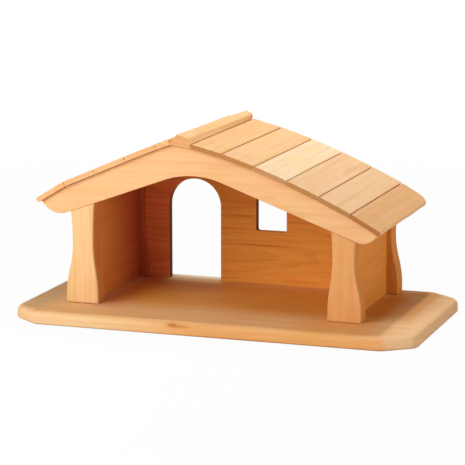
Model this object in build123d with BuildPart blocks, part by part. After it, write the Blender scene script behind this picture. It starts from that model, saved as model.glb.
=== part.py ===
from build123d import *
import os
from math import cos, dist, radians, sin, tan

# Wooden nativity stable: a base board carries four wavy posts, two gables, three walls and a planked roof.
# Frame: X to the right, Y to the rear, Z up, origin at the middle of the base board's underside.

# Base board, in millimetres
base_length = 480.0
base_depth = 252.0
base_thickness = 16.0
base_corner_x = 34.0
base_corner_y = 27.0
base_corner_round = 16.0
base_top_round = 8.0
base_foot_round = 2.0

# Places of the posts on the base board
left_post_inset = 73.0
right_post_inset = 93.5
porch_depth = 54.5
rear_ledge = 13.0

# Posts, with the outline given as distances from the post's axis
post_foot_inner = 18.0
post_foot_outer = 21.0
post_waist = 12.5
post_top = 14.2
post_foot_height = 8.0
post_flare_drop = 26.0
left_post_height = 113.4
post_edge_round = 1.2

# Gables, cut from the same stock as the posts, in millimetres and degrees; a nose is limited by its end's cut
frame_thickness = 22.0
left_gable_depth = 32.5
right_gable_depth = 26.0
gable_lower_angle = 20.2
gable_arch_radius = 100.0
left_nose_radius = 25.826
right_nose_radius = 19.035
nose_cut_share = 0.98
gable_edge_round = 1.0

# Roof facets, counted from the ridge down to each eave; the ridge is left of the middle between the posts
ridge_shift = 46.75
left_eave_reach = 53.5
right_eave_reach = 42.5
left_plank_angles = (20.0, 23.0, 23.5, 23.5, 31.5)
right_plank_angles = (14.0, 17.5, 20.5, 23.0, 25.0, 29.0)
left_first_width = 17.5
right_first_width = 36.8
eave_overhang = 3.5
roof_front_overhang = 5.0
roof_rear_overhang = 33.0

# Roof planks: a lip closes the groove between two, and the eave's nose is a share of the thickness
plank_thickness = 6.0
plank_gap = 0.9
plank_lip = 2.0
plank_edge_round = 1.2
plank_end_round = 1.0
eave_nose_share = 0.45
eave_corner_round = 20.0

# Ridge bar, with heights over its facet and the distances that its top edges lie in from its sides; its top
# is planed to a taper, so it has other values at the rear
ridge_width = 24.6
ridge_left_height = 13.6
ridge_right_height = 11.7
ridge_left_inset = 6.4
ridge_right_inset = 3.7
ridge_rear_left_height = 14.3
ridge_rear_right_height = 11.0
ridge_rear_left_inset = 15.4
ridge_rear_right_inset = 0.4
ridge_shoulder = 5.5
ridge_tilt = 8.0
ridge_edge_round = 1.4

# Walls
side_wall_thickness = 14.0
back_wall_thickness = 10.0
wall_tongue = 4.0
wall_tongue_drop = 8.0
back_wall_housing = 4.5
wall_edge_round = 0.8

# Door and window in the back wall
door_offset = 77.8
door_width = 66.0
door_head_cover = 17.5
pier_width = 45.5
window_width = 38.0
window_height = 42.0
window_sill = 65.0
window_corner_round = 2.5

# Hidden dowels
dowel_diameter = 8.0
dowel_spacing = 16.0
dowel_cover = 2.0
base_dowel_depth = 10.0
post_dowel_depth = 20.0
gable_dowel_depth = 12.0

# Clearances
groove_clearance = 0.15
plank_clearance = 0.15
dowel_clearance = 0.1
dowel_end_clearance = 0.5

# Distance under which two places count as the same
near = 0.01

# Places that follow from the base board
left_post_x = -base_length / 2 + left_post_inset
right_post_x = base_length / 2 - right_post_inset
front_row_y = -base_depth / 2 + porch_depth
front_inner_y = front_row_y + frame_thickness
rear_back_y = base_depth / 2 - rear_ledge
rear_row_y = rear_back_y - frame_thickness
roof_front_y = front_row_y - roof_front_overhang
roof_length = rear_back_y + roof_rear_overhang - roof_front_y
wall_length = rear_row_y - front_inner_y
back_wall_y = rear_row_y + (frame_thickness - back_wall_thickness) / 2
dowel_radius = dowel_diameter / 2
dowel_hole_radius = dowel_radius + dowel_clearance

# Sides with the direction that leads out of the stable and the post's axis
sides = (("left", -1, left_post_x), ("right", 1, right_post_x))

# Rows of posts with their front face, the face that meets the side walls and the way into the post there
rows = (("front", front_row_y, front_inner_y, -1), ("rear", rear_row_y, rear_row_y, 1))


def cos_deg(angle):
    """Cosine of an angle in degrees."""
    return cos(radians(angle))


def sin_deg(angle):
    """Sine of an angle in degrees."""
    return sin(radians(angle))


def front_plane(y):
    """Upright plane at y, drawn as seen from the front."""
    return Plane.XZ.offset(-y)


def even_width(reach, first_width, angles):
    """Width of the equal planks below the first one on a slope that reaches sideways by the given length."""
    return (reach - first_width * cos_deg(angles[0])) / sum(cos_deg(angle) for angle in angles[1:])


def falling_chain(start, side, widths, angles):
    """Corners of roof facets that fall from start, to the left for side -1 and to the right for side 1."""
    points = [start]
    for width, angle in zip(widths, angles):
        x, z = points[-1]
        points.append((x + side * width * cos_deg(angle), z - width * sin_deg(angle)))
    return points


def height_at(points, x):
    """Height at x of a chain of points that runs from left to right."""
    for (x0, z0), (x1, z1) in zip(points, points[1:]):
        if x0 <= x <= x1:
            return z0 + (z1 - z0) * (x - x0) / (x1 - x0)
    raise ValueError("x lies outside the chain of points")


def raised(points, rise):
    """The same points, lifted by rise."""
    return [(x, z + rise) for x, z in points]


# Roof facets: planks and ridge bar lie on these flats, which are also the top edges of the gables
apex_x = (left_post_x + right_post_x) / 2 - ridge_shift
left_reach = apex_x - left_post_x + left_eave_reach
right_reach = right_post_x + right_eave_reach - apex_x - ridge_width * cos_deg(ridge_tilt)
left_width = even_width(left_reach, left_first_width, left_plank_angles)
right_width = even_width(right_reach, right_first_width, right_plank_angles)
left_widths = [left_first_width] + [left_width] * (len(left_plank_angles) - 1)
right_widths = [right_first_width] + [right_width] * (len(right_plank_angles) - 1)
low_left = falling_chain((apex_x, 0.0), -1, left_widths, left_plank_angles)
low_right = falling_chain((apex_x, 0.0), 1, [ridge_width] + right_widths, (ridge_tilt,) + right_plank_angles)
low_seat = low_left[:0:-1] + low_right

# The roof stands on the left post, and the right post's height follows from the roof
left_post_z = base_thickness + left_post_height
roof_rise = left_post_z + left_gable_depth - height_at(low_seat, left_post_x)
left_seat = raised(low_left, roof_rise)
right_seat = raised(low_right, roof_rise)
seat_line = raised(low_seat, roof_rise)
right_post_z = height_at(seat_line, right_post_x) - right_gable_depth
lower_slope = tan(radians(gable_lower_angle))
waist_z = right_post_z - post_flare_drop


def lower_edge(x, side):
    """Height of the gable's straight lower edge at x, left (-1) or right (1) of the arch."""
    if side < 0:
        return left_post_z + (x - left_post_x) * lower_slope
    return right_post_z - (x - right_post_x) * lower_slope


def gable_end(seat, side, angle):
    """Upper and lower corner of a gable's end, cut square to the last roof facet of a slope."""
    eave_x, eave_z = seat[-1]
    top_x = eave_x - side * eave_overhang * cos_deg(angle)
    top_z = eave_z + eave_overhang * sin_deg(angle)
    cut = (top_z - lower_edge(top_x, side)) / (cos_deg(angle) + sin_deg(angle) * lower_slope)
    return (top_x, top_z), (top_x - side * cut * sin_deg(angle), top_z - cut * cos_deg(angle))


def nose_fillet(tip, nose, angle, radius):
    """Radius of a gable's nose, limited by the length of the end's cut that it rounds."""
    half_corner = (90.0 + angle - gable_lower_angle) / 2
    return min(radius, nose_cut_share * dist(tip, nose) * tan(radians(half_corner)))


left_tip, left_nose = gable_end(left_seat, -1, left_plank_angles[-1])
right_tip, right_nose = gable_end(right_seat, 1, right_plank_angles[-1])
left_nose_fillet = nose_fillet(left_tip, left_nose, left_plank_angles[-1], left_nose_radius)
right_nose_fillet = nose_fillet(right_tip, right_nose, right_plank_angles[-1], right_nose_radius)
arch_x = (left_post_x + right_post_x + (right_post_z - left_post_z) / lower_slope) / 2
arch_peak = (arch_x, lower_edge(arch_x, -1))
gable_outline = [left_tip] + seat_line[1:-1] + [right_tip, right_nose, arch_peak, left_nose]

# Door and window
door_x = left_post_x + door_offset
door_radius = door_width / 2
door_top = lower_edge(door_x, -1) - door_head_cover
door_spring = door_top - door_radius
window_x = door_x + door_radius + pier_width + window_width / 2
window_z = base_thickness + window_sill + window_height / 2


def gable_joint(axis_x, side, row_y):
    """Plane on the sloped joint between a post and its gable, facing up out of the post."""
    lean = side * sin_deg(gable_lower_angle)
    rise = cos_deg(gable_lower_angle)
    middle = (axis_x, row_y + frame_thickness / 2, lower_edge(axis_x, side))
    return Plane(origin=middle, x_dir=(rise, 0, -lean), z_dir=(lean, 0, rise))


def tongue_top(axis_x, side):
    """Height of the tongues on a side wall, safely under the sloped tops of the posts."""
    return lower_edge(axis_x + side * side_wall_thickness / 2, side) - wall_tongue_drop


def housing_x(axis_x, side):
    """Place of the back wall's end inside a rear post."""
    return axis_x - side * (post_waist - back_wall_housing)


def base_dowel_places(axis_x, side, row_y):
    """Plan places of the two dowels under one post, clear of the back wall's groove in the rear posts."""
    first_x = housing_x(axis_x, side) + side * (groove_clearance + dowel_cover + dowel_hole_radius)
    middle_y = row_y + frame_thickness / 2
    return [(first_x, middle_y), (first_x + side * dowel_spacing, middle_y)]


def wavy_edge(axis_x, side, foot, waist, top):
    """One wavy edge of a post, with foot, waist and top as signed distances from the post's axis."""
    foot_z = base_thickness + post_foot_height
    foot_x, waist_x, top_x = axis_x + foot, axis_x + waist, axis_x + top
    middle = ((foot_x + waist_x) / 2, (foot_z + waist_z) / 2)
    Line((foot_x, base_thickness), (foot_x, foot_z))
    TangentArc((foot_x, foot_z), middle, tangent=(0, 1))
    TangentArc((waist_x, waist_z), middle, tangent=(0, -1))
    TangentArc((waist_x, waist_z), (top_x, lower_edge(top_x, side)), tangent=(0, 1))


def corner_at(sketch, point):
    """The sketch corner that lies nearest to a point."""
    return sketch.vertices().sort_by_distance(point)[0]


def outline_edges(builder):
    """Edges around the front face and the rear face of a piece."""
    faces = builder.faces().sort_by(Axis.Y)
    return faces[0].edges() + faces[-1].edges()


def is_opening_edge(edge):
    """Tell whether an edge of the back wall runs around the door or the window."""
    middle = edge.center()
    in_door = abs(middle.X - door_x) <= door_width / 2 and base_thickness < middle.Z <= door_top
    in_window = abs(middle.X - window_x) <= window_width / 2 and abs(middle.Z - window_z) <= window_height / 2
    return in_door or in_window


def nose_edges(builder, facet, side, plank_width):
    """Edges on the top and the underside of a plank, from the eave round the rear corner to the rear end."""
    edges = []
    for edge in builder.edges():
        place = facet.to_local_coords(edge.center())
        flat = min(abs(place.Z), abs(place.Z - plank_thickness)) < near
        if flat and place.X > plank_gap - plank_width / 2 + near and side * place.Y > near - roof_length / 2:
            edges.append(edge)
    return edges


def top_edges(builder, facet):
    """Edges around the top of a plank."""
    edges = builder.edges()
    return [edge for edge in edges if facet.to_local_coords(edge.center()).Z > plank_thickness - near]


os.makedirs("parts", exist_ok=True)

base_dowels = []
for _, side, axis_x in sides:
    for _, row_y, _, _ in rows:
        base_dowels += base_dowel_places(axis_x, side, row_y)

# Base board with cut corners and a broad rounded top edge
with BuildPart() as base_board:
    with BuildSketch() as plan:
        half_x, half_y = base_length / 2, base_depth / 2
        with BuildLine():
            Polyline(
                (-half_x + base_corner_x, -half_y),
                (half_x - base_corner_x, -half_y),
                (half_x, -half_y + base_corner_y),
                (half_x, half_y - base_corner_y),
                (half_x - base_corner_x, half_y),
                (-half_x + base_corner_x, half_y),
                (-half_x, half_y - base_corner_y),
                (-half_x, -half_y + base_corner_y),
                close=True,
            )
        make_face()
        fillet(plan.vertices(), base_corner_round)
    extrude(amount=base_thickness)
    fillet(base_board.faces().sort_by(Axis.Z)[-1].edges(), base_top_round)
    fillet(base_board.faces().sort_by(Axis.Z)[0].edges(), base_foot_round)
    with BuildSketch(Plane.XY.offset(base_thickness)):
        with Locations(*base_dowels):
            Circle(dowel_hole_radius)
    extrude(amount=-base_dowel_depth - dowel_end_clearance, mode=Mode.SUBTRACT)
base_board.part.label = "base_board"
export_step(base_board.part, "parts/base_board.step")

# Four wavy posts, grooved for the walls and bored for the dowels
for side_name, side, axis_x in sides:
    for row_name, row_y, meeting_y, inward in rows:
        with BuildPart() as post:
            with BuildSketch(front_plane(row_y)):
                with BuildLine():
                    wavy_edge(axis_x, side, -side * post_foot_inner, -side * post_waist, -side * post_top)
                    wavy_edge(axis_x, side, side * post_foot_outer, side * post_waist, side * post_top)
                    inner_x, outer_x = axis_x - side * post_top, axis_x + side * post_top
                    Line((inner_x, lower_edge(inner_x, side)), (outer_x, lower_edge(outer_x, side)))
                    foot_inner_x = axis_x - side * post_foot_inner
                    foot_outer_x = axis_x + side * post_foot_outer
                    Line((foot_inner_x, base_thickness), (foot_outer_x, base_thickness))
                make_face()
            extrude(amount=-frame_thickness)
            fillet(outline_edges(post), post_edge_round)
            groove_depth = wall_tongue + groove_clearance
            with BuildSketch(Plane.XY.offset(base_thickness)):
                with Locations((axis_x, meeting_y + inward * groove_depth / 2)):
                    Rectangle(side_wall_thickness + 2 * groove_clearance, groove_depth)
            groove_height = tongue_top(axis_x, side) + groove_clearance - base_thickness
            extrude(amount=groove_height, mode=Mode.SUBTRACT)
            if row_name == "rear":
                groove_end_x = housing_x(axis_x, side) + side * groove_clearance
                groove_length = abs(groove_end_x - foot_inner_x) + back_wall_housing
                with BuildSketch(Plane.XY.offset(base_thickness)):
                    with Locations((groove_end_x - side * groove_length / 2, row_y + frame_thickness / 2)):
                        Rectangle(groove_length, back_wall_thickness + 2 * groove_clearance)
                extrude(amount=left_post_z, mode=Mode.SUBTRACT)
            with BuildSketch(Plane.XY.offset(base_thickness)):
                with Locations(*base_dowel_places(axis_x, side, row_y)):
                    Circle(dowel_hole_radius)
            extrude(amount=post_dowel_depth + dowel_end_clearance, mode=Mode.SUBTRACT)
            with BuildSketch(gable_joint(axis_x, side, row_y)):
                Circle(dowel_hole_radius)
            extrude(amount=-gable_dowel_depth - dowel_end_clearance, mode=Mode.SUBTRACT)
        post.part.label = f"{row_name}_{side_name}_post"
        export_step(post.part, f"parts/{row_name}_{side_name}_post.step")

# Front and rear gable, each seated on the sloped tops of its two posts
for row_name, row_y, _, _ in rows:
    with BuildPart() as gable:
        with BuildSketch(front_plane(row_y)) as gable_face:
            with BuildLine():
                Polyline(*gable_outline, close=True)
            make_face()
            fillet(corner_at(gable_face, left_nose), left_nose_fillet)
            fillet(corner_at(gable_face, right_nose), right_nose_fillet)
            fillet(corner_at(gable_face, arch_peak), gable_arch_radius)
        extrude(amount=-frame_thickness)
        fillet(outline_edges(gable), gable_edge_round)
        for _, side, axis_x in sides:
            with BuildSketch(gable_joint(axis_x, side, row_y)):
                Circle(dowel_hole_radius)
            extrude(amount=gable_dowel_depth + dowel_end_clearance, mode=Mode.SUBTRACT)
    gable.part.label = f"{row_name}_gable"
    export_step(gable.part, f"parts/{row_name}_gable.step")

# Side walls, standing between the rows of posts with a tongue in each post
for side_name, side, axis_x in sides:
    wall_x0, wall_x1 = axis_x - side_wall_thickness / 2, axis_x + side_wall_thickness / 2
    with BuildPart() as wall:
        with BuildSketch(front_plane(front_inner_y)):
            with BuildLine():
                Polyline(
                    (wall_x0, base_thickness),
                    (wall_x1, base_thickness),
                    (wall_x1, height_at(seat_line, wall_x1)),
                    (wall_x0, height_at(seat_line, wall_x0)),
                    close=True,
                )
            make_face()
        extrude(amount=-wall_length)
        with BuildSketch(front_plane(front_inner_y - wall_tongue)):
            with Locations((axis_x, (base_thickness + tongue_top(axis_x, side)) / 2)):
                Rectangle(side_wall_thickness, tongue_top(axis_x, side) - base_thickness)
        extrude(amount=-wall_length - 2 * wall_tongue)
    wall.part.label = f"{side_name}_wall"
    export_step(wall.part, f"parts/{side_name}_wall.step")

# Back wall with an arched door and a small window, housed in the rear posts under the rear gable
with BuildPart() as back_wall:
    with BuildSketch(front_plane(back_wall_y)) as wall_face:
        wall_left_x, wall_right_x = housing_x(left_post_x, -1), housing_x(right_post_x, 1)
        with BuildLine():
            Polyline(
                (wall_left_x, base_thickness),
                (wall_right_x, base_thickness),
                (wall_right_x, lower_edge(wall_right_x, 1)),
                arch_peak,
                (wall_left_x, lower_edge(wall_left_x, -1)),
                close=True,
            )
        make_face()
        fillet(corner_at(wall_face, arch_peak), gable_arch_radius)
        with Locations((door_x, (base_thickness + door_spring) / 2)):
            Rectangle(door_width, door_spring - base_thickness, mode=Mode.SUBTRACT)
        with Locations((door_x, door_spring)):
            Circle(door_radius, mode=Mode.SUBTRACT)
        with Locations((window_x, window_z)):
            RectangleRounded(window_width, window_height, window_corner_round, mode=Mode.SUBTRACT)
    extrude(amount=-back_wall_thickness)
    fillet(outline_edges(back_wall).filter_by(is_opening_edge), wall_edge_round)
back_wall.part.label = "back_wall"
export_step(back_wall.part, "parts/back_wall.step")

# Roof planks, numbered from the ridge down; the last of each slope has a round nose and rear corner
slopes = (("left", -1, left_seat, left_plank_angles), ("right", 1, right_seat[1:], right_plank_angles))
for side_name, side, seat, angles in slopes:
    for number, angle in enumerate(angles, start=1):
        (upper_x, upper_z), (lower_x, lower_z) = seat[number - 1], seat[number]
        facet = Plane(
            origin=((upper_x + lower_x) / 2, roof_front_y + roof_length / 2, (upper_z + lower_z) / 2),
            x_dir=(side * cos_deg(angle), 0, -sin_deg(angle)),
            z_dir=(side * sin_deg(angle), 0, cos_deg(angle)),
        )
        plank_width = abs(lower_x - upper_x) / cos_deg(angle) - plank_clearance
        is_last = number == len(angles)
        with BuildPart() as plank:
            with BuildSketch(facet) as plank_plan:
                Rectangle(plank_width, roof_length)
                if is_last:
                    rear_corner = corner_at(plank_plan, (plank_width / 2, side * roof_length / 2))
                    fillet(rear_corner, eave_corner_round)
            extrude(amount=plank_thickness)
            if is_last:
                fillet(nose_edges(plank, facet, side, plank_width), eave_nose_share * plank_thickness)
            with BuildSketch(facet.offset(plank_lip)):
                with Locations(((plank_gap - plank_width) / 2, 0)):
                    Rectangle(plank_gap, roof_length)
            extrude(amount=plank_thickness, mode=Mode.SUBTRACT)
            sharp_edges = top_edges(plank, facet)
            if is_last:
                round_edges = nose_edges(plank, facet, side, plank_width)
                sharp_edges = [edge for edge in sharp_edges if edge not in round_edges]
            fillet(sharp_edges, plank_edge_round)
        plank.part.label = f"{side_name}_roof_plank_{number}"
        export_step(plank.part, f"parts/{side_name}_roof_plank_{number}.step")

# Ridge bar, a blunt wedge on the facet beside the apex, with a low shoulder for the planks on its right
(ridge_x0, ridge_z0), (ridge_x1, ridge_z1) = right_seat[0], right_seat[1]
ridge_facet = Plane(
    origin=((ridge_x0 + ridge_x1) / 2, roof_front_y, (ridge_z0 + ridge_z1) / 2),
    x_dir=(cos_deg(ridge_tilt), 0, -sin_deg(ridge_tilt)),
    z_dir=(0, -1, 0),
)
ridge_half = (ridge_width - plank_clearance) / 2


def is_upper_ridge_edge(edge):
    """Tell whether an edge of the ridge bar runs from front to rear above its facet."""
    return edge.length > roof_length - near and ridge_facet.to_local_coords(edge.center()).Y > near


front_end = (ridge_left_inset, ridge_left_height, ridge_right_inset, ridge_right_height)
rear_end = (ridge_rear_left_inset, ridge_rear_left_height, ridge_rear_right_inset, ridge_rear_right_height)
with BuildPart() as ridge_bar:
    for setback, ridge_end in ((0.0, front_end), (roof_length, rear_end)):
        left_inset, left_height, right_inset, right_height = ridge_end
        with BuildSketch(ridge_facet.offset(-setback)):
            with BuildLine():
                Polyline(
                    (-ridge_half, 0),
                    (ridge_half, 0),
                    (ridge_half, ridge_shoulder),
                    (ridge_half - right_inset, right_height),
                    (-ridge_half + left_inset, left_height),
                    close=True,
                )
            make_face()
    loft(ruled=True)
    fillet(ridge_bar.edges().filter_by(is_upper_ridge_edge), ridge_edge_round)
    fillet(outline_edges(ridge_bar), plank_end_round)
ridge_bar.part.label = "ridge_bar"
export_step(ridge_bar.part, "parts/ridge_bar.step")

# Dowels between the base board and the posts, two in each post
with BuildPart() as post_base_dowels:
    with BuildSketch(Plane.XY.offset(base_thickness - base_dowel_depth)):
        with Locations(*base_dowels):
            Circle(dowel_radius)
    extrude(amount=base_dowel_depth + post_dowel_depth)
post_base_dowels.part.label = "post_base_dowels"
export_step(post_base_dowels.part, "parts/post_base_dowels.step")

# Dowels between the posts and the gables, one in each post
with BuildPart() as gable_post_dowels:
    for _, side, axis_x in sides:
        for _, row_y, _, _ in rows:
            with BuildSketch(gable_joint(axis_x, side, row_y).offset(-gable_dowel_depth)):
                Circle(dowel_radius)
            extrude(amount=2 * gable_dowel_depth)
gable_post_dowels.part.label = "gable_post_dowels"
export_step(gable_post_dowels.part, "parts/gable_post_dowels.step")
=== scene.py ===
"""Looks of a wooden crib stable: timber finishes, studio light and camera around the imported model."""

import logging
import math
from dataclasses import dataclass, replace
from enum import Enum
from typing import Any, Iterator, Optional, Sequence, Union

import bmesh
import bpy
from mathutils import Matrix, Vector


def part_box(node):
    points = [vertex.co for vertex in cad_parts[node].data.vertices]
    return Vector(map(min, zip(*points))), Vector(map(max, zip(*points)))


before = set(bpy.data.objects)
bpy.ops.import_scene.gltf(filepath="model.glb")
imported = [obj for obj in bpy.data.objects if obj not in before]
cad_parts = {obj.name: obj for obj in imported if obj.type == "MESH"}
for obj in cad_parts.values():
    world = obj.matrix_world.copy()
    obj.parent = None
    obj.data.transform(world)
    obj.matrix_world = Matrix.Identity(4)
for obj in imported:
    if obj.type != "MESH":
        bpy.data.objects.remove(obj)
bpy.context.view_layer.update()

LOG = logging.getLogger("crib_stable")
MM = 0.001

Pair = tuple[float, float]
Triple = tuple[float, float, float]
Colour = Triple
Term = Union["Signal", float, int]

NO_TINT: Colour = (1.0, 1.0, 1.0)
OPAQUE = (1.0,)
WHITE = NO_TINT + OPAQUE

# A board's long faces lean along its grain by less than this, as a cosine, and its ends by more
FACE_LEAN = 0.5

# The direction through a board points out of the face that looks more this way
SHOWN_SIDE = Vector((0.1, -0.5, 1.0))

# Digits to which directions, and areas in square metres, count as the same
NORMAL_DIGITS = 2
AREA_DIGITS = 7


class Grain(Enum):
    """Direction in which the wood fibres of a board run."""

    ALONG_FRONT = (1.0, 0.0, 0.0)
    TO_THE_REAR = (0.0, 1.0, 0.0)
    UPRIGHT = (0.0, 0.0, 1.0)


class Signal:
    """A number on a shader socket that Python's operators work on."""

    def __init__(self, graph: "ShaderGraph", socket: bpy.types.NodeSocket) -> None:
        """Keep the socket and the graph that new maths goes into."""
        self.graph = graph
        self.socket = socket

    def __add__(self, other: Term) -> "Signal":
        """Sum."""
        return self.graph.math("ADD", self, other)

    def __sub__(self, other: Term) -> "Signal":
        """Difference."""
        return self.graph.math("SUBTRACT", self, other)

    def __rsub__(self, other: Term) -> "Signal":
        """Difference from a number."""
        return self.graph.math("SUBTRACT", other, self)

    def __mul__(self, other: Term) -> "Signal":
        """Product."""
        return self.graph.math("MULTIPLY", self, other)

    def __truediv__(self, other: Term) -> "Signal":
        """Quotient."""
        return self.graph.math("DIVIDE", self, other)

    def __pow__(self, other: Term) -> "Signal":
        """Power."""
        return self.graph.math("POWER", self, other)

    def __abs__(self) -> "Signal":
        """Size without sign."""
        return self.graph.math("ABSOLUTE", self)

    __radd__ = __add__
    __rmul__ = __mul__

    def fract(self) -> "Signal":
        """Part after the decimal point."""
        return self.graph.math("FRACT", self)

    def floor(self) -> "Signal":
        """Whole number below."""
        return self.graph.math("FLOOR", self)

    def root(self) -> "Signal":
        """Square root."""
        return self.graph.math("SQRT", self)

    def swing(self) -> "Signal":
        """Signed distance from one half, the middle of a share."""
        return self - 0.5

    def step(self, low: float, high: float) -> "Signal":
        """Smooth rise from 0 at low to 1 at high.

        Args:
            low: value where the rise starts.
            high: value where it ends; below low, the step falls instead.

        Returns:
            The step as a signal.
        """
        settings = {"interpolation_type": "SMOOTHSTEP"}
        inputs = {"Value": self, "From Min": low, "From Max": high}
        node = self.graph.add("ShaderNodeMapRange", settings, inputs)
        return Signal(self.graph, node.outputs["Result"])


@dataclass(frozen=True)
class Swell:
    """Scale of a noise in a board.

    The pitch is the distance from one swell to the next along, across and through the board, in millimetres,
    and the detail is the number of finer layers.
    """

    pitch: Triple
    detail: float


class ShaderGraph:
    """Adds nodes to one node tree."""

    noise_roughness = 0.55

    # Places of the colour sockets on a Mix node, whose sockets for other data have the same names
    mix_factor = 0
    mix_low = 6
    mix_high = 7
    mix_result = 2

    def __init__(self, tree: bpy.types.NodeTree) -> None:
        """Start with an empty tree."""
        self.tree = tree
        tree.nodes.clear()

    def add(self, kind: str, settings: Optional[dict[str, Any]] = None,
            inputs: Optional[dict[Union[str, int], Any]] = None) -> bpy.types.Node:
        """Add one node.

        Args:
            kind: Blender's name of the node type.
            settings: properties that are set before the sockets.
            inputs: numbers, colours, signals or sockets for the input sockets.

        Returns:
            The new node.
        """
        node = self.tree.nodes.new(kind)
        for name, value in (settings or {}).items():
            setattr(node, name, value)
        for key, value in (inputs or {}).items():
            if isinstance(value, Signal):
                value = value.socket
            if isinstance(value, bpy.types.NodeSocket):
                self.tree.links.new(value, node.inputs[key])
            else:
                node.inputs[key].default_value = value
        return node

    def math(self, operation: str, *terms: Term) -> Signal:
        """Work on one or two numbers."""
        node = self.add("ShaderNodeMath", {"operation": operation}, dict(enumerate(terms)))
        return Signal(self, node.outputs["Value"])

    def noise(self, vector: bpy.types.NodeSocket, swell: Swell) -> Signal:
        """Soft noise between about 0 and 1.

        Args:
            vector: place on the board, in millimetres.
            swell: scale of the noise.

        Returns:
            The noise as a signal.
        """
        scale = tuple(1 / length for length in swell.pitch)
        stretched = self.add("ShaderNodeVectorMath", {"operation": "MULTIPLY"}, {0: vector, 1: scale})
        node = self.add("ShaderNodeTexNoise", {"noise_dimensions": "3D"}, {
            "Vector": stretched.outputs["Vector"],
            "Scale": 1.0,
            "Detail": swell.detail,
            "Roughness": self.noise_roughness,
        })
        return Signal(self, node.outputs["Fac"])

    def chance(self, number: Signal) -> Signal:
        """A random share between 0 and 1 for each whole number."""
        node = self.add("ShaderNodeTexWhiteNoise", {"noise_dimensions": "1D"}, {"W": number})
        return Signal(self, node.outputs["Value"])

    def mix(self, factor: Term, low: Any, high: Any, blend: str = "MIX") -> bpy.types.NodeSocket:
        """Blend two colours.

        Args:
            factor: share of the second colour.
            low: first colour, as a socket or as four numbers.
            high: second colour, as a socket or as four numbers.
            blend: Blender's name of the way the second colour is laid over the first.

        Returns:
            The socket of the blended colour.
        """
        settings = {"data_type": "RGBA", "blend_type": blend, "clamp_factor": True}
        inputs = {self.mix_factor: factor, self.mix_low: low, self.mix_high: high}
        return self.add("ShaderNodeMix", settings, inputs).outputs[self.mix_result]

    def tint(self, factor: Term, colour: bpy.types.NodeSocket, tint: Colour) -> bpy.types.NodeSocket:
        """Multiply a colour by a tint, where a factor of 0 leaves the colour alone."""
        return self.mix(factor, colour, tint + OPAQUE, "MULTIPLY")


@dataclass(frozen=True)
class TimberFinish:
    """Colour, figure and sheen of one kind of board; lengths are in millimetres."""

    label: str
    pale: Colour
    deep: Colour
    end_grain: Colour
    ring_spacing: float = 5.5
    ring_depth: float = 0.45
    ring_warp: float = 20.0
    streak_depth: float = 0.7
    streak_width: float = 6.0
    fibre_depth: float = 0.35
    blotch_depth: float = 0.35
    pink_tint: Colour = (1.0, 0.93, 0.88)
    yellow_tint: Colour = (0.97, 0.98, 0.84)
    knot_wood: Colour = (0.46, 0.14, 0.03)
    # Paler edges, partly worn wood and partly painted highlight: their colour and strength
    worn_and_highlit_edge: Colour = (0.92, 0.66, 0.40)
    wear_and_highlight: float = 0.35
    # Joint dirt and painted shade from ambient occlusion: its strength and its colour
    dirt_and_painted_shade: float = 0.5
    dirt_and_painted_shade_tint: Colour = (0.42, 0.28, 0.17)
    roughness: float = 0.66
    specular: float = 0.1
    relief: float = 0.12


@dataclass(frozen=True)
class Knot:
    """A knot in a board, at a place of the stable's frame, with its reach on each axis; in millimetres."""

    place: Triple
    reach: Triple
    depth: float = 1.0

    def distance(self, site: Sequence[Signal]) -> Signal:
        """Distance from the knot, where 1 is its rim.

        Args:
            site: the surface's place in the stable's frame, in millimetres.

        Returns:
            The distance as a signal.
        """
        spans = zip(site, self.place, self.reach)
        parts = [((here - middle) / reach) ** 2.0 for here, middle, reach in spans]
        return (parts[0] + parts[1] + parts[2]).root()


@dataclass(frozen=True)
class TonePatch:
    """A patch of another tone with a soft border, between two corners of the stable's frame; most patches in
    this script are painted shade, and one is a painted pool of light.

    Lengths are in millimetres.
    """

    low: Triple
    high: Triple
    soft: Triple
    tint: Colour

    def share(self, site: Sequence[Signal]) -> Signal:
        """Strength of the patch.

        Args:
            site: the surface's place in the stable's frame, in millimetres.

        Returns:
            A signal that is 1 inside the patch and 0 beyond its border.
        """
        spans = zip(site, self.low, self.high, self.soft)
        parts = [here.step(low - soft, low + soft) * here.step(high + soft, high - soft)
                 for here, low, high, soft in spans]
        return parts[0] * parts[1] * parts[2]


@dataclass(frozen=True)
class Board:
    """One board of the stable with its grain, its share of the log, its own tone and its marks."""

    node: str
    grain: Grain
    finish: TimberFinish
    tint: Colour = NO_TINT
    end_tint: Colour = NO_TINT
    heart: Pair = (12.0, 70.0)
    staves: int = 1
    knots: tuple[Knot, ...] = ()
    tone_patches: tuple[TonePatch, ...] = ()

    def axes(self) -> Matrix:
        """Directions along, across and through the board, the last one square to its largest long faces.

        Returns:
            A matrix whose rows are the three directions.
        """
        areas: dict[tuple[float, ...], float] = {}
        along = Vector(self.grain.value)
        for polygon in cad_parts[self.node].data.polygons:
            if abs(polygon.normal.dot(along)) < FACE_LEAN:
                key = tuple(round(part, NORMAL_DIGITS) for part in polygon.normal)
                areas[key] = areas.get(key, 0.0) + polygon.area
        through = Vector(max(areas, key=lambda key: (round(areas[key], AREA_DIGITS), key)))
        through = (through - along * through.dot(along)).normalized()
        if through.dot(SHOWN_SIDE) < 0:
            through = -through
        return Matrix((along, through.cross(along), through))

    def middle(self) -> Vector:
        """Middle of the board's box."""
        low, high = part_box(self.node)
        return (low + high) / 2

    def width(self, axes: Matrix) -> float:
        """Size of the board across its grain, in millimetres."""
        reach = [axes[1].dot(vertex.co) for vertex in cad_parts[self.node].data.vertices]
        return (max(reach) - min(reach)) / MM


@dataclass(frozen=True)
class Figure:
    """Figure of a board's surface, as shares between about 0 and 1."""

    luck: Signal
    late: Signal
    fibre: Signal
    streak: Signal
    blotch: Signal
    hue: Signal
    pore: Signal
    end: Signal


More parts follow.
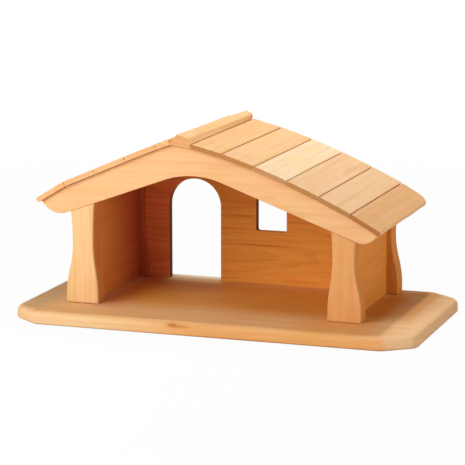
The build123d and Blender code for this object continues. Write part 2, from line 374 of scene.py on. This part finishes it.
class TimberShader:
    """Builds the material of one board: rings, streaks, fibres, end grain, knots, tone patches that are
    mostly painted shade, paler edges that are worn and carry a painted highlight, and dark joints from dirt
    and painted shade.

    Lengths are in millimetres, and a pair named span holds the values where a smooth step starts and ends.
    """

    # Distances in the log from one board to the next, and between the staves of one board
    seed_step = 1000.0
    seed_count = 97
    stave_shift_along = 700.0
    stave_shift_across = 30.0
    stave_shift_through = 300.0

    # Growth rings, their waves, their bend round a knot in ring spacings, and the dark late wood in each ring
    warp = Swell((260.0, 60.0, 60.0), 2.0)
    ripple = Swell((110.0, 14.0, 14.0), 2.0)
    ripple_depth = 5.0
    knot_bend = 2.5
    knot_bend_span = (4.0, 0.5)
    late_power = 2.2
    late_drop_span = (1.0, 0.9)
    late_least = 0.45

    # Fine figure
    fibre = Swell((38.0, 0.8, 0.8), 3.0)
    streak_length = 200.0
    streak_detail = 3.0
    streak_span = (0.3, 0.75)
    blotch = Swell((120.0, 50.0, 50.0), 2.0)
    hue = Swell((80.0, 18.0, 18.0), 2.0)
    pore = Swell((7.0, 0.35, 0.35), 1.0)
    pore_span = (0.68, 0.8)
    end_span = (0.55, 0.9)

    # Shares that take the colour from the pale to the deep tone
    plain_depth = 0.18
    streak_share = 0.5
    pore_depth = 0.12
    stave_depth = 0.25
    knot_halo_depth = 0.5
    knot_halo_span = (3.2, 0.8)

    # Colours over the tone
    end_deep_share = 0.8
    pink_span = (0.52, 0.72)
    yellow_span = (0.48, 0.28)
    knot_span = (1.3, 0.6)

    # Edges paler where worn and from painted highlight, and joints and corners darker from dirt and painted
    # shade
    wear_and_highlight_radius = 1.6
    wear_and_highlight_samples = 6
    wear_and_highlight_span = (0.99, 0.8)
    wear_and_highlight_least = 0.4
    wear_and_highlight_fibre = 1.2
    dirt_and_painted_shade_reach = 7.0
    dirt_and_painted_shade_samples = 8
    dirt_and_painted_shade_span = (0.85, 0.2)

    # Heights of the relief, and what the figure and the wear do to the roughness
    relief_height = 0.4
    fibre_height = 0.6
    late_height = 0.5
    pore_height = 0.5
    fibre_roughness = 0.14
    end_roughness = 0.12
    late_gloss = 0.05
    wear_roughness = 0.06

    def __init__(self, board: Board) -> None:
        """Make an empty material for a board.

        Args:
            board: the board that gets the material.
        """
        self.board = board
        self.finish = board.finish
        self.axes = board.axes()
        self.seed = self.seed_step * (sum(map(ord, board.node)) % self.seed_count)
        self.material = bpy.data.materials.new(f"{board.finish.label}_{board.node}")
        self.material.use_nodes = True
        self.graph = ShaderGraph(self.material.node_tree)
        self.coordinates = self.graph.add("ShaderNodeTexCoord")
        self.site = self.stable_place()
        self.knots = [(knot, knot.distance(self.site)) for knot in board.knots]

    def shade(self, colour: Colour, tint: Colour = NO_TINT) -> tuple[float, float, float, float]:
        """A colour of the finish with the board's own tint and one more."""
        parts = zip(colour, self.board.tint, tint)
        return tuple(min(1.0, part * own * more) for part, own, more in parts) + OPAQUE

    def split(self, vector: bpy.types.NodeSocket) -> tuple[Signal, ...]:
        """The three parts of a vector."""
        node = self.graph.add("ShaderNodeSeparateXYZ", None, {"Vector": vector})
        return tuple(Signal(self.graph, output) for output in node.outputs)

    def stable_place(self) -> tuple[Signal, ...]:
        """Place of the surface in the stable's frame, in millimetres."""
        scaled = self.graph.add("ShaderNodeVectorMath", {"operation": "SCALE"},
                                {0: self.coordinates.outputs["Object"], "Scale": 1 / MM})
        return self.split(scaled.outputs["Vector"])

    def board_place(self) -> tuple[Signal, ...]:
        """Place of the surface on the board.

        Returns:
            The distances along, across and through the board from its middle, in millimetres.
        """
        shift = self.axes @ self.board.middle() / -MM
        mapping = self.graph.add("ShaderNodeMapping", {"vector_type": "POINT"}, {
            "Vector": self.coordinates.outputs["Object"],
            "Location": tuple(shift),
            "Rotation": tuple(self.axes.to_euler("XYZ")),
            "Scale": (1 / MM, 1 / MM, 1 / MM),
        })
        return self.split(mapping.outputs["Vector"])

    def worn_and_highlit_edges(self) -> Signal:
        """Find the edges that handling wears and that get a painted highlight.

        Returns:
            The share of worn colour and painted highlight, 1 on sharp edges and 0 on flats.
        """
        inputs = {"Radius": self.wear_and_highlight_radius * MM}
        rounded = self.graph.add("ShaderNodeBevel", {"samples": self.wear_and_highlight_samples}, inputs)
        flat = self.graph.add("ShaderNodeNewGeometry").outputs["Normal"]
        likeness = self.graph.add("ShaderNodeVectorMath", {"operation": "DOT_PRODUCT"},
                                  {0: rounded.outputs["Normal"], 1: flat})
        return Signal(self.graph, likeness.outputs["Value"]).step(*self.wear_and_highlight_span)

    def joint_dirt_and_painted_shade(self) -> Signal:
        """Share of joint dirt and painted shade from ambient occlusion: high in joints and corners, 0 on open
        faces.
        """
        openness = self.graph.add("ShaderNodeAmbientOcclusion", {"samples": self.dirt_and_painted_shade_samples},
                                  {"Distance": self.dirt_and_painted_shade_reach * MM})
        return Signal(self.graph, openness.outputs["AO"]).step(*self.dirt_and_painted_shade_span)

    def late_wood(self, spot: bpy.types.NodeSocket, luck: Signal, across: Signal, through: Signal) -> Signal:
        """Draw the growth rings around the heart of the log.

        Args:
            spot: place in the log, for its noises.
            luck: random share of the stave.
            across: distance across the stave from its middle.
            through: distance through the board from its middle.

        Returns:
            The share of late wood, which rises through each ring and drops at the ring's end.
        """
        graph, finish = self.graph, self.finish
        heart_across, heart_through = self.board.heart
        warp = graph.noise(spot, self.warp)
        ripple = graph.noise(spot, self.ripple)
        side = across + heart_across + luck.swing() * self.stave_shift_across
        depth = through + heart_through
        radius = (side ** 2.0 + depth ** 2.0).root()
        radius = radius + warp.swing() * finish.ring_warp + ripple.swing() * self.ripple_depth
        for _, distance in self.knots:
            radius = radius + distance.step(*self.knot_bend_span) * (self.knot_bend * finish.ring_spacing)
        phase = radius / finish.ring_spacing
        growth = phase.fract()
        strength = self.late_least + (1 - self.late_least) * graph.chance(phase.floor() + self.seed)
        return growth ** self.late_power * growth.step(*self.late_drop_span) * strength

    def figure(self) -> Figure:
        """Cut the board's staves from the log.

        Returns:
            The figure that then shows on the board.
        """
        graph, board, width = self.graph, self.board, self.finish.streak_width
        along, across, through = self.board_place()
        stave_width = board.width(self.axes) / board.staves
        stave = (across / stave_width + board.staves / 2).floor()
        luck = graph.chance(stave + self.seed)
        own_across = across - (stave + 0.5 - board.staves / 2) * stave_width
        spot = graph.add("ShaderNodeCombineXYZ", None, {
            "X": along + luck * self.stave_shift_along + self.seed,
            "Y": own_across,
            "Z": through + luck * self.stave_shift_through,
        }).outputs["Vector"]
        streaks = Swell((self.streak_length, width, width), self.streak_detail)
        facing = graph.add("ShaderNodeVectorMath", {"operation": "DOT_PRODUCT"},
                           {0: self.coordinates.outputs["Normal"], 1: board.grain.value})
        return Figure(
            luck=luck,
            late=self.late_wood(spot, luck, own_across, through),
            fibre=graph.noise(spot, self.fibre),
            streak=graph.noise(spot, streaks).step(*self.streak_span),
            blotch=graph.noise(spot, self.blotch),
            hue=graph.noise(spot, self.hue),
            pore=graph.noise(spot, self.pore).step(*self.pore_span),
            end=abs(Signal(graph, facing.outputs["Value"])).step(*self.end_span),
        )

    def tone(self, figure: Figure) -> Signal:
        """Add up what darkens the wood.

        Args:
            figure: the board's figure.

        Returns:
            The share of the deep tone.
        """
        finish = self.finish
        stave_depth = self.stave_depth if self.board.staves > 1 else 0.0
        depth = (self.plain_depth + figure.late * finish.ring_depth
                 + figure.streak.swing() * (self.streak_share * finish.streak_depth)
                 + figure.fibre.swing() * finish.fibre_depth
                 + figure.blotch.swing() * finish.blotch_depth
                 + figure.pore * self.pore_depth + figure.luck.swing() * stave_depth)
        for knot, distance in self.knots:
            depth = depth + distance.step(*self.knot_halo_span) * (self.knot_halo_depth * knot.depth)
        return depth

    def colour(self, figure: Figure, wear_and_highlight: Signal) -> bpy.types.NodeSocket:
        """Lay the colours over each other, from the bare wood to the joint dirt and painted shade.

        Args:
            figure: the board's figure.
            wear_and_highlight: share of worn colour and painted highlight on the edges.

        Returns:
            The socket of the finished colour.
        """
        graph, board, finish = self.graph, self.board, self.finish
        depth = self.tone(figure)
        face = graph.mix(depth, self.shade(finish.pale), self.shade(finish.deep))
        deep_end_tint = tuple(self.end_deep_share * part for part in board.end_tint)
        cut = graph.mix(depth, self.shade(finish.end_grain, board.end_tint),
                        self.shade(finish.deep, deep_end_tint))
        colour = graph.mix(figure.end, face, cut)
        colour = graph.tint(figure.hue.step(*self.pink_span), colour, finish.pink_tint)
        colour = graph.tint(figure.hue.step(*self.yellow_span), colour, finish.yellow_tint)
        # Tone patches, most of them painted shade and one a painted pool of light
        for tone_patch in board.tone_patches:
            colour = graph.tint(tone_patch.share(self.site), colour, tone_patch.tint)
        for knot, distance in self.knots:
            knot_share = distance.step(*self.knot_span) * knot.depth
            colour = graph.mix(knot_share, colour, finish.knot_wood + OPAQUE)
        # Paler edges, partly worn wood and partly painted highlight
        wear_and_highlight_share = wear_and_highlight * (self.wear_and_highlight_least + figure.fibre * self.wear_and_highlight_fibre) * finish.wear_and_highlight
        colour = graph.mix(wear_and_highlight_share, colour, self.shade(finish.worn_and_highlit_edge))
        # Joint dirt and painted shade: darker where ambient occlusion finds joints, corners and the
        # undersides of overhangs
        return graph.tint(self.joint_dirt_and_painted_shade() * finish.dirt_and_painted_shade, colour, finish.dirt_and_painted_shade_tint)

    def build(self) -> bpy.types.Material:
        """Wire up the whole material.

        Returns:
            The finished material.
        """
        graph, finish = self.graph, self.finish
        figure = self.figure()
        wear_and_highlight = self.worn_and_highlit_edges()
        height = (figure.fibre * self.fibre_height + figure.late * self.late_height
                  - figure.pore * self.pore_height)
        roughness = (finish.roughness + figure.fibre.swing() * self.fibre_roughness
                     + figure.end * self.end_roughness - figure.late * self.late_gloss
                     + wear_and_highlight * self.wear_roughness)
        relief = graph.add("ShaderNodeBump", None, {
            "Strength": finish.relief,
            "Distance": self.relief_height * MM,
            "Height": height,
        })
        surface = graph.add("ShaderNodeBsdfPrincipled", None, {
            "Base Color": self.colour(figure, wear_and_highlight),
            "Roughness": roughness,
            "Specular IOR Level": finish.specular,
            "Normal": relief.outputs["Normal"],
        })
        graph.add("ShaderNodeOutputMaterial", None, {"Surface": surface.outputs["BSDF"]})
        return self.material


BASE_TIMBER = TimberFinish(
    label="base_timber",
    pale=(0.82, 0.53, 0.28),
    deep=(0.68, 0.36, 0.15),
    end_grain=(0.66, 0.40, 0.20),
    ring_depth=0.32,
    blotch_depth=0.5,
)
FRAME_TIMBER = TimberFinish(
    label="frame_timber",
    pale=(0.84, 0.47, 0.22),
    deep=(0.70, 0.33, 0.12),
    end_grain=(0.68, 0.36, 0.14),
)
# Deeper and redder than the frame timber: the walls' pine with painted shade of the stable's inside
WALL_TIMBER = TimberFinish(
    label="wall_timber",
    pale=(0.78, 0.315, 0.06),
    deep=(0.56, 0.175, 0.025),
    end_grain=(0.46, 0.17, 0.03),
    ring_spacing=3.6,
    ring_depth=0.55,
    streak_depth=1.15,
    streak_width=4.0,
    fibre_depth=0.5,
    worn_and_highlit_edge=(0.72, 0.36, 0.10),
    wear_and_highlight=0.15,
    dirt_and_painted_shade=0.3,
)
# The same painted shade, with weaker figure, for boards inside the stable
INNER_TIMBER = replace(
    WALL_TIMBER,
    label="inner_timber",
    ring_depth=0.25,
    streak_depth=0.5,
    wear_and_highlight=0.08,
    dirt_and_painted_shade=0.15,
)
ROOF_TIMBER = TimberFinish(
    label="roof_timber",
    pale=(0.88, 0.54, 0.265),
    deep=(0.76, 0.40, 0.16),
    end_grain=(0.72, 0.42, 0.18),
    ring_warp=14.0,
    streak_depth=0.9,
    streak_width=4.5,
    fibre_depth=0.5,
    dirt_and_painted_shade=0.12,
    dirt_and_painted_shade_tint=(0.52, 0.33, 0.17),
)
DOWEL_TIMBER = TimberFinish(
    label="dowel_timber",
    pale=(0.74, 0.52, 0.32),
    deep=(0.60, 0.38, 0.20),
    end_grain=(0.62, 0.42, 0.24),
    ring_spacing=2.5,
)


class SubAssembly:
    """A group of boards that is dressed together."""

    def boards(self) -> Iterator[Board]:
        """The boards of the group."""
        raise NotImplementedError

    def dress(self) -> None:
        """Give each board its own material."""
        for board in self.boards():
            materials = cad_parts[board.node].data.materials
            materials.clear()
            materials.append(TimberShader(board).build())
            LOG.info("dressed %s", board.node)


@dataclass
class Base(SubAssembly):
    """The base board, glued up from staves that run along the front."""

    staves: int = 3
    heart: Pair = (8.0, 60.0)
    knots: tuple[Knot, ...] = (
        Knot((-36.5, -126.0, 11.4), (6.0, 7.0, 2.2), 0.7),
        Knot((-26.0, -126.0, 10.4), (11.0, 6.0, 1.6), 0.4),
    )
    tone_patches: tuple[TonePatch, ...] = (
        # Painted shade: darker, warmer top, from the left end to just past the right wall, where the roof
        # shades it
        TonePatch((-260.0, -140.0, 14.0), (185.0, 98.0, 30.0), (10.0, 10.0, 2.5), (0.98, 0.88, 0.74)),
        # Painted shade: darker, redder porch in front of the right post
        TonePatch((100.0, -126.0, 14.0), (200.0, -68.0, 30.0), (25.0, 10.0, 2.5), (1.0, 0.82, 0.62)),
        # Greyer left end
        TonePatch((-260.0, -140.0, 14.0), (-205.0, 140.0, 30.0), (18.0, 10.0, 2.5), (0.84, 0.92, 1.0)),
        # Painted shade on the floor inside the stable, deeper before the door, and a painted pool of light on
        # the threshold
        TonePatch((-150.0, -52.0, 14.0), (185.0, 88.0, 30.0), (10.0, 30.0, 2.5), (0.86, 0.64, 0.26)),
        TonePatch((-140.0, 40.0, 14.0), (-45.0, 92.0, 30.0), (20.0, 20.0, 2.5), (0.84, 0.76, 0.66)),
        TonePatch((-128.0, 84.0, 14.0), (-52.0, 140.0, 30.0), (14.0, 8.0, 2.5), (1.2, 1.6, 2.1)),
        # Painted shade: darker, redder floor along the left wall
        TonePatch((-152.0, -75.0, 14.0), (-128.0, 100.0, 30.0), (26.0, 20.0, 2.5), (0.78, 0.52, 0.8)),
        # Painted shade: darker brown strip on the top outside the right wall, where the eave's shadow falls
        TonePatch((160.0, -40.0, 14.0), (216.0, 140.0, 30.0), (6.0, 40.0, 2.5), (0.87, 0.70, 0.44)),
        # Redder right half of the front edge
        TonePatch((-70.0, -140.0, -20.0), (250.0, -123.0, 30.0), (70.0, 4.0, 5.0), (0.97, 0.73, 0.49)),
    )

    def boards(self) -> Iterator[Board]:
        """The single base board."""
        yield Board("base_board", Grain.ALONG_FRONT, BASE_TIMBER, heart=self.heart, staves=self.staves,
                    knots=self.knots, tone_patches=self.tone_patches)


@dataclass
class PostFrame(SubAssembly):
    """Four posts with upright grain and two gables with grain along the front."""

    front_left_heart: Pair = (30.0, 55.0)
    front_right_heart: Pair = (4.0, 34.0)
    rear_hearts: tuple[Pair, ...] = ((18.0, 48.0), (-14.0, 50.0))
    gable_heart: Pair = (25.0, 80.0)
    front_left_tint: Colour = (0.98, 1.09, 1.14)
    front_right_tint: Colour = (0.91, 0.79, 0.63)
    rear_tints: tuple[Colour, ...] = ((0.84, 0.78, 0.78), (0.8, 0.74, 0.74))
    gable_tint: Colour = (1.0, 1.03, 1.07)
    # Painted shade on the inner side of the front left post
    painted_inner_side_shade: TonePatch = TonePatch(
        low=(-165.0, -68.5, 0.0), high=(-90.0, -20.0, 200.0), soft=(8.0, 1.0, 5.0), tint=(0.66, 0.36, 0.17))
    # Painted shade on the right side of the front right post, under the eave
    painted_outer_side_shade: TonePatch = TonePatch(
        low=(148.0, -68.5, 0.0), high=(200.0, -20.0, 200.0), soft=(6.0, 1.0, 5.0), tint=(0.78, 0.63, 0.34))
    # Painted shade on the rear posts in the stable's inside rear corners
    painted_inner_corner_shade: TonePatch = TonePatch(
        low=(-172.0, 80.0, 0.0), high=(-120.0, 95.0, 240.0), soft=(5.0, 2.0, 5.0), tint=(0.83, 0.55, 1.6))

    def boards(self) -> Iterator[Board]:
        """Cut the posts and the gables.

        Returns:
            The posts first, then the gables.
        """
        yield Board("front_left_post", Grain.UPRIGHT, FRAME_TIMBER, self.front_left_tint,
                    heart=self.front_left_heart, tone_patches=(self.painted_inner_side_shade,))
        yield Board("front_right_post", Grain.UPRIGHT, FRAME_TIMBER, self.front_right_tint,
                    heart=self.front_right_heart, tone_patches=(self.painted_outer_side_shade,))
        # The rear posts take the inner timber, whose deep colour is painted shade
        for side, tint, heart in zip(("left", "right"), self.rear_tints, self.rear_hearts):
            yield Board(f"rear_{side}_post", Grain.UPRIGHT, INNER_TIMBER, tint, heart=heart,
                        tone_patches=(self.painted_inner_corner_shade,))
        for row in ("front", "rear"):
            yield Board(f"{row}_gable", Grain.ALONG_FRONT, FRAME_TIMBER, self.gable_tint,
                        heart=self.gable_heart)


@dataclass
class Walls(SubAssembly):
    """Side walls and a back wall of lying boards."""

    side_staves: int = 2
    back_staves: int = 2
    left_tint: Colour = (0.92, 0.78, 0.66)
    right_tint: Colour = (0.90, 0.82, 0.68)
    back_tint: Colour = (1.12, 1.16, 1.1)
    reveal_tint: Colour = (0.45, 0.35, 0.3)
    # Painted shade on the rear half of the left wall, deeper toward the back; it also covers the wall's outer
    # face
    left_rear: TonePatch = TonePatch(
        low=(-200.0, 45.0, 0.0), high=(-100.0, 140.0, 240.0), soft=(20.0, 60.0, 5.0), tint=(0.78, 0.50, 1.3))
    # Painted shade on the left part of the back wall, beside the left wall
    painted_back_left_shade: TonePatch = TonePatch(
        low=(-170.0, 90.0, 0.0), high=(-100.0, 99.0, 240.0), soft=(15.0, 2.0, 5.0), tint=(1.0, 0.72, 1.45))
    back_streaks: tuple[Knot, ...] = (
        Knot((-28.0, 97.0, 98.0), (11.0, 4.0, 1.1), 0.4),
        Knot((0.0, 97.0, 63.5), (32.0, 4.0, 1.2), 0.35),
    )

    def boards(self) -> Iterator[Board]:
        """Cut the walls.

        Returns:
            The side walls first, then the back wall.
        """
        yield Board("left_wall", Grain.TO_THE_REAR, INNER_TIMBER, self.left_tint, staves=self.side_staves,
                    tone_patches=(self.left_rear,))
        yield Board("right_wall", Grain.TO_THE_REAR, INNER_TIMBER, self.right_tint, staves=self.side_staves)
        yield Board("back_wall", Grain.ALONG_FRONT, WALL_TIMBER, self.back_tint, self.reveal_tint,
                    staves=self.back_staves, knots=self.back_streaks, tone_patches=(self.painted_back_left_shade,))


@dataclass
class PlankRoof(SubAssembly):
    """Planks and ridge bar, with grain from front to rear and a tint for each plank."""

    left_tints: tuple[Colour, ...] = (
        NO_TINT,
        (0.97, 0.97, 0.97),
        NO_TINT,
        (0.98, 0.98, 0.98),
        NO_TINT,
    )
    right_tints: tuple[Colour, ...] = (
        (0.96, 0.96, 0.96),
        (0.97, 0.98, 1.03),
        (1.04, 1.25, 1.65),
        (0.97, 1.02, 1.16),
        (0.95, 1.02, 1.16),
        (0.87, 0.81, 0.77),
    )
    left_end_tint: Colour = (1.14, 1.06, 1.16)
    right_end_tint: Colour = (0.70, 0.51, 0.36)
    ridge_end_tint: Colour = (1.02, 0.88, 0.85)
    heart_swing: float = 14.0
    heart_turn: float = 2.4
    heart_depth: float = 38.0
    heart_step: float = 9.0
    heart_cycle: int = 3

    def heart(self, number: int) -> Pair:
        """Place of the log's heart beside and under a plank, by the plank's number from the ridge."""
        beside = self.heart_swing * math.sin(self.heart_turn * number)
        return beside, self.heart_depth + self.heart_step * (number % self.heart_cycle)

    def boards(self) -> Iterator[Board]:
        """Cut the planks and the ridge bar.

        Returns:
            The planks of both slopes, then the ridge bar.
        """
        slopes = (
            ("left", self.left_tints, self.left_end_tint),
            ("right", self.right_tints, self.right_end_tint),
        )
        for side, tints, end_tint in slopes:
            for number, tint in enumerate(tints, start=1):
                yield Board(f"{side}_roof_plank_{number}", Grain.TO_THE_REAR, ROOF_TIMBER, tint, end_tint,
                            self.heart(number))
        yield Board("ridge_bar", Grain.TO_THE_REAR, ROOF_TIMBER, end_tint=self.ridge_end_tint)


@dataclass
class Dowels(SubAssembly):
    """Hidden dowels with upright grain."""

    nodes: tuple[str, ...] = ("post_base_dowels", "gable_post_dowels")
    heart: Pair = (6.0, 20.0)

    def boards(self) -> Iterator[Board]:
        """Both groups of dowels."""
        for node in self.nodes:
            yield Board(node, Grain.UPRIGHT, DOWEL_TIMBER, heart=self.heart)


@dataclass(frozen=True)
class Stand:
    """A place that faces a point from outside; the distance is in metres, and the angles are in degrees.

    An azimuth of 0 is in front of the stable, and of 90 to its right.
    """

    azimuth: float
    elevation: float
    distance: float

    def hold(self, label: str, data: bpy.types.ID, target: Vector) -> bpy.types.Object:
        """Put a lamp or a camera on the stand.

        Args:
            label: name of the new object.
            data: the lamp or the camera.
            target: point that it faces.

        Returns:
            The new object.
        """
        azimuth, elevation = math.radians(self.azimuth), math.radians(self.elevation)
        flat = math.cos(elevation)
        back = Vector((math.sin(azimuth) * flat, -math.cos(azimuth) * flat, math.sin(elevation)))
        held = bpy.data.objects.new(label, data)
        held.location = target + back * self.distance
        held.rotation_euler = back.to_track_quat("Z", "Y").to_euler()
        bpy.context.scene.collection.objects.link(held)
        return held


@dataclass(frozen=True)
class SoftBox:
    """A lamp with a lit rectangle, in metres, that shines at a point of the stable."""

    label: str
    stand: Stand
    width: float
    height: float
    level: float

    def place(self, target: Vector) -> None:
        """Put the lamp up so that it lights a matt surface that faces it at its level.

        Args:
            target: point that the lamp shines at.
        """
        lamp = bpy.data.lights.new(self.label, "AREA")
        lamp.shape = "RECTANGLE"
        lamp.size, lamp.size_y = self.width, self.height
        lamp.energy = self.level * (math.pi * self.stand.distance) ** 2
        self.stand.hold(self.label, lamp, target)


@dataclass
class Studio:
    """Pale floor, soft lamps, white surroundings and the camera; lengths are in metres.

    The focal length and the sensor's width are in millimetres.
    """

    floor_size: float = 14.0
    floor_albedo: float = 0.82
    floor_white_share: float = 0.95
    floor_fade: Pair = (0.45, 1.4)
    ambient: float = 0.18
    camera_stand: Stand = Stand(azimuth=18.9, elevation=10.8, distance=2.64)
    camera_target: Triple = (-0.00621, -0.00505, 0.09771)
    camera_reach: float = 56.0
    focal_length: float = 175.92
    sensor_width: float = 36.0
    lamps: tuple[SoftBox, ...] = (
        SoftBox("top_lamp", Stand(163.0, 71.0, 0.975), width=0.07, height=0.08, level=0.45),
        SoftBox("rear_lamp", Stand(192.0, 64.0, 1.0), width=0.1, height=0.1, level=0.16),
        SoftBox("front_lamp", Stand(-33.0, 24.0, 1.25), width=1.0, height=0.8, level=0.86),
        SoftBox("side_lamp", Stand(72.0, 12.0, 2.0), width=1.0, height=0.8, level=0.38),
    )

    def white_for_camera(self, graph: ShaderGraph) -> Signal:
        """Tell the rays that see plain white: from the camera, off gloss or through glass.

        Args:
            graph: node tree that the test goes into.

        Returns:
            A signal that is 1 for such a ray and 0 for the others.
        """
        rays = graph.add("ShaderNodeLightPath")
        seen = Signal(graph, rays.outputs["Is Camera Ray"]) + Signal(graph, rays.outputs["Is Glossy Ray"])
        return graph.math("MINIMUM", seen + Signal(graph, rays.outputs["Is Transmission Ray"]), 1.0)

    def floor_material(self) -> bpy.types.Material:
        """Make a floor that looks white and still takes the stable's shadow.

        Returns:
            The floor's material.
        """
        material = bpy.data.materials.new("pale_floor")
        material.use_nodes = True
        graph = ShaderGraph(material.node_tree)
        grey = (self.floor_albedo,) * 3 + OPAQUE
        matt = graph.add("ShaderNodeBsdfDiffuse", None, {"Color": grey})
        glow = graph.add("ShaderNodeEmission", None, {"Color": WHITE, "Strength": 1.0})
        spot = graph.add("ShaderNodeTexCoord").outputs["Object"]
        length = graph.add("ShaderNodeVectorMath", {"operation": "LENGTH"}, {0: spot})
        away = Signal(graph, length.outputs["Value"])
        pale = self.floor_white_share + away.step(*self.floor_fade) * (1 - self.floor_white_share)
        share = self.white_for_camera(graph) * pale
        mixed = graph.add("ShaderNodeMixShader", None,
                          {0: share, 1: matt.outputs["BSDF"], 2: glow.outputs["Emission"]})
        graph.add("ShaderNodeOutputMaterial", None, {"Surface": mixed.outputs["Shader"]})
        return material

    def lay_floor(self) -> None:
        """Lay the floor under the stable."""
        shape = bmesh.new()
        bmesh.ops.create_grid(shape, x_segments=1, y_segments=1, size=self.floor_size / 2)
        mesh = bpy.data.meshes.new("floor")
        shape.to_mesh(mesh)
        shape.free()
        floor = bpy.data.objects.new("floor", mesh)
        bpy.context.scene.collection.objects.link(floor)
        mesh.materials.append(self.floor_material())

    def light(self) -> None:
        """Hang the lamps and set the white surroundings with their soft ambient light."""
        for lamp in self.lamps:
            lamp.place(Vector(self.camera_target))
        world = bpy.data.worlds.new("surroundings")
        world.use_nodes = True
        bpy.context.scene.world = world
        graph = ShaderGraph(world.node_tree)
        soft = graph.add("ShaderNodeBackground", None, {"Color": WHITE, "Strength": self.ambient})
        plain = graph.add("ShaderNodeBackground", None, {"Color": WHITE, "Strength": 1.0})
        share = self.white_for_camera(graph)
        mixed = graph.add("ShaderNodeMixShader", None,
                          {0: share, 1: soft.outputs["Background"], 2: plain.outputs["Background"]})
        graph.add("ShaderNodeOutputWorld", None, {"Surface": mixed.outputs["Shader"]})

    def set_camera(self) -> None:
        """Put the camera at the photograph's place."""
        camera = bpy.data.cameras.new("camera")
        camera.sensor_width = self.sensor_width
        camera.lens = self.focal_length
        camera.clip_end = self.camera_reach
        scene = bpy.context.scene
        scene.camera = self.camera_stand.hold("camera", camera, Vector(self.camera_target))
        scene.view_settings.view_transform = "Standard"

    def build(self) -> None:
        """Set up floor, light and camera."""
        self.lay_floor()
        self.light()
        self.set_camera()


def main() -> None:
    """Dress every sub-assembly and set up the studio."""
    logging.basicConfig(level=logging.INFO, format="%(name)s: %(message)s")
    for group in (Base(), PostFrame(), Walls(), PlankRoof(), Dowels()):
        group.dress()
    Studio().build()


if __name__ == "__main__":
    main()
